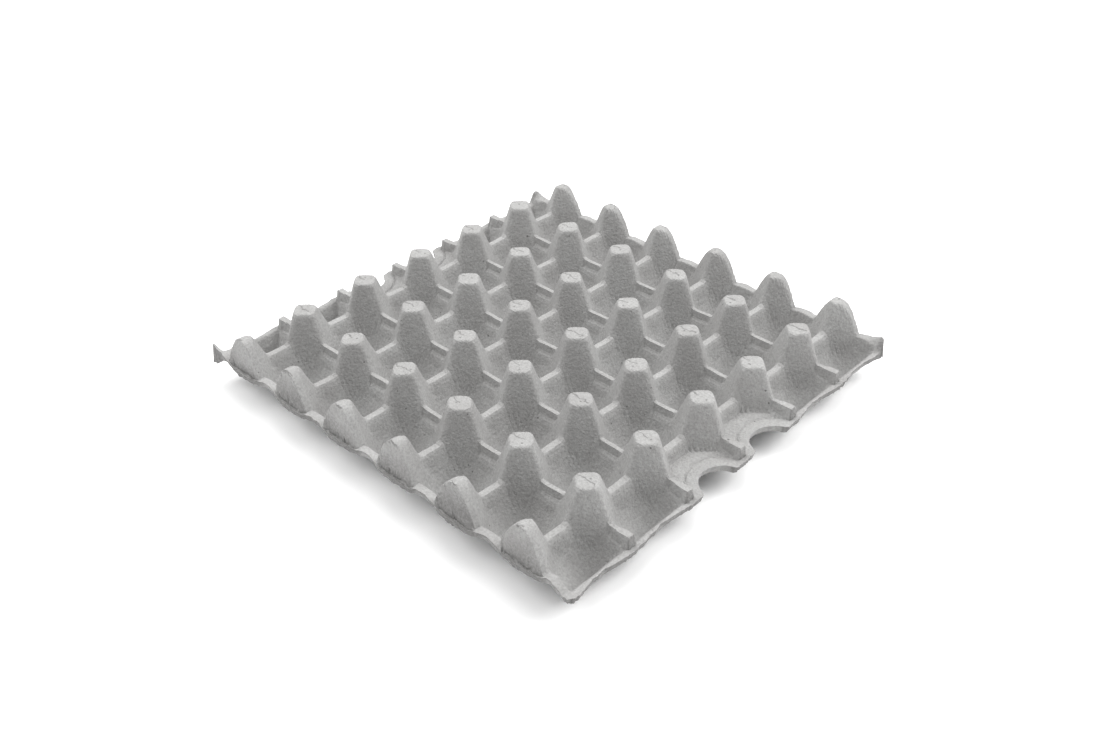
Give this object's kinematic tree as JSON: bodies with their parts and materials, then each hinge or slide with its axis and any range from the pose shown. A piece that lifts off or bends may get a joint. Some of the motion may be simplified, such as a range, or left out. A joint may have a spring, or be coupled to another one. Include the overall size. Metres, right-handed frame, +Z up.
{
  "type": "egg tray",
  "caption": "Square moulded pulp tray with rows of open egg cups between blunt pyramid posts, half cells and finger notches along two sides, and a turned-down edge all round.",
  "frame": {"origin": "on the surface that the tray stands on, under the middle of its box", "axes": "+Z up, towards the post tops; +X along the rows of six cups; +Y along the rows of five cups, towards a rim with finger notches"},
  "size_m": [0.298, 0.308, 0.045],
  "materials": {
    "moulded_pulp": "rough grey recycled paper pulp, unpainted"
  },
  "bodies": {
    "root": {"egg_tray": "moulded_pulp"}
  },
  "joints": []
}
